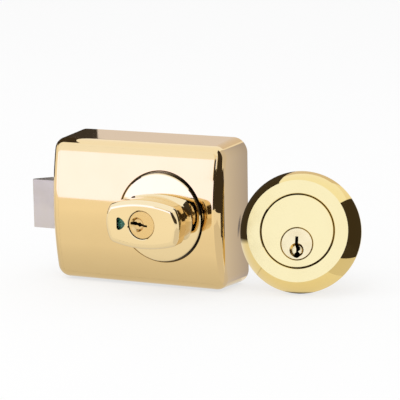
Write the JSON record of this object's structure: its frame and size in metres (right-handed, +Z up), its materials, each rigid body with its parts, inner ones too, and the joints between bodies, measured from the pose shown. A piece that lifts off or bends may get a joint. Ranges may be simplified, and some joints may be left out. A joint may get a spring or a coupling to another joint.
{
  "type": "rim night latch",
  "caption": "Rim night latch with a keyed turn knob and status window, a sprung bolt, and a separate outside rim cylinder in a bevelled ring.",
  "frame": {"origin": "where the axis of the knob and of the tailpiece entry meets the door face", "axes": "+Y out of the case's back into the door, -Y toward the room, -X the way the bolt shoots, +Z up"},
  "size_m": [0.1622, 0.1202, 0.07],
  "materials": {
    "case_brass": "mirror-polished brass with a clear lacquer",
    "knob_brass": "mirror-polished brass with a clear lacquer",
    "ring_brass": "mirror-polished brass with a clear lacquer",
    "cylinder_brass": "polished brass face, turned brass body",
    "plug_brass": "satin-turned brass",
    "pin_brass": "plain turned brass",
    "bolt_steel": "lengthwise-brushed nickel plate",
    "plate_steel": "zinc-plated pressed steel",
    "small_steel": "bright zinc-plated steel",
    "spring_steel": "oiled spring steel",
    "retractor_steel": "sintered steel",
    "flag_steel": "plain sheet",
    "green_enamel": "green enamel",
    "red_enamel": "red enamel",
    "window_plastic": "clear plastic"
  },
  "bodies": {
    "lock_case": {"case_cover": "case_brass", "back_plate": "plate_steel", "back_plate_screws": "small_steel", "clinch_nuts": "small_steel", "bolt_guide": "plate_steel", "guide_rivets": "small_steel", "guide_stud": "small_steel", "spring_post": "plate_steel", "spring_rod": "spring_steel", "bolt_spring": "spring_steel", "cylinder_ring": "ring_brass", "cylinder_body": "cylinder_brass", "driver_pins": "pin_brass", "pin_springs": "spring_steel", "chamber_plugs": "pin_brass"},
    "bolt": {"latch_bolt": "bolt_steel"},
    "turn_knob": {"knob": "knob_brass", "knob_washer": "pin_brass", "knob_clip": "spring_steel", "window_lens": "window_plastic", "retractor": "retractor_steel", "retractor_screws": "small_steel", "drive_pin": "small_steel"},
    "knob_cylinder": {"knob_plug": "plug_brass", "knob_wafers": "pin_brass", "knob_cam": "plate_steel", "cam_screw": "small_steel"},
    "indicator": {"indicator_flag": "flag_steel", "indicator_green": "green_enamel", "indicator_red": "red_enamel"},
    "outside_key_plug": {"outside_plug": "plug_brass", "key_pins": "pin_brass", "tail_cap": "plug_brass", "tailpiece": "plate_steel"}
  },
  "joints": [
    {"name": "knob_turn", "type": "hinge", "parent": "lock_case", "child": "turn_knob", "pos_m": [0, -0.024, 0], "axis": [0, 1, 0], "range_deg": [0, 60]},
    {"name": "bolt_slide", "type": "slide", "parent": "lock_case", "child": "bolt", "axis": [1, 0, 0], "range_m": [0, 0.014], "stiffness_N_per_m": 60, "springref_m": -0.012, "deforming": ["bolt_spring"]},
    {"name": "knob_key_turn", "type": "hinge", "parent": "turn_knob", "child": "knob_cylinder", "pos_m": [0, -0.034, 0], "axis": [0, 1, 0], "range_deg": [0, 90]},
    {"name": "indicator_swing", "type": "hinge", "parent": "turn_knob", "child": "indicator", "pos_m": [0, -0.0455, 0], "axis": [0, 1, 0], "range_deg": [0, 34]},
    {"name": "outside_key_turn", "type": "hinge", "parent": "lock_case", "child": "outside_key_plug", "pos_m": [0.06045, -0.00451, -0.0132], "axis": [0.2105, -0.9416, 0.2629], "range_deg": [-90, 90]}
  ],
  "couplings": [
    {"joint": "bolt_slide", "follows": "knob_turn", "m_per_rad": 0.013369},
    {"joint": "indicator_swing", "follows": "knob_key_turn", "ratio": 0.37778}
  ]
}
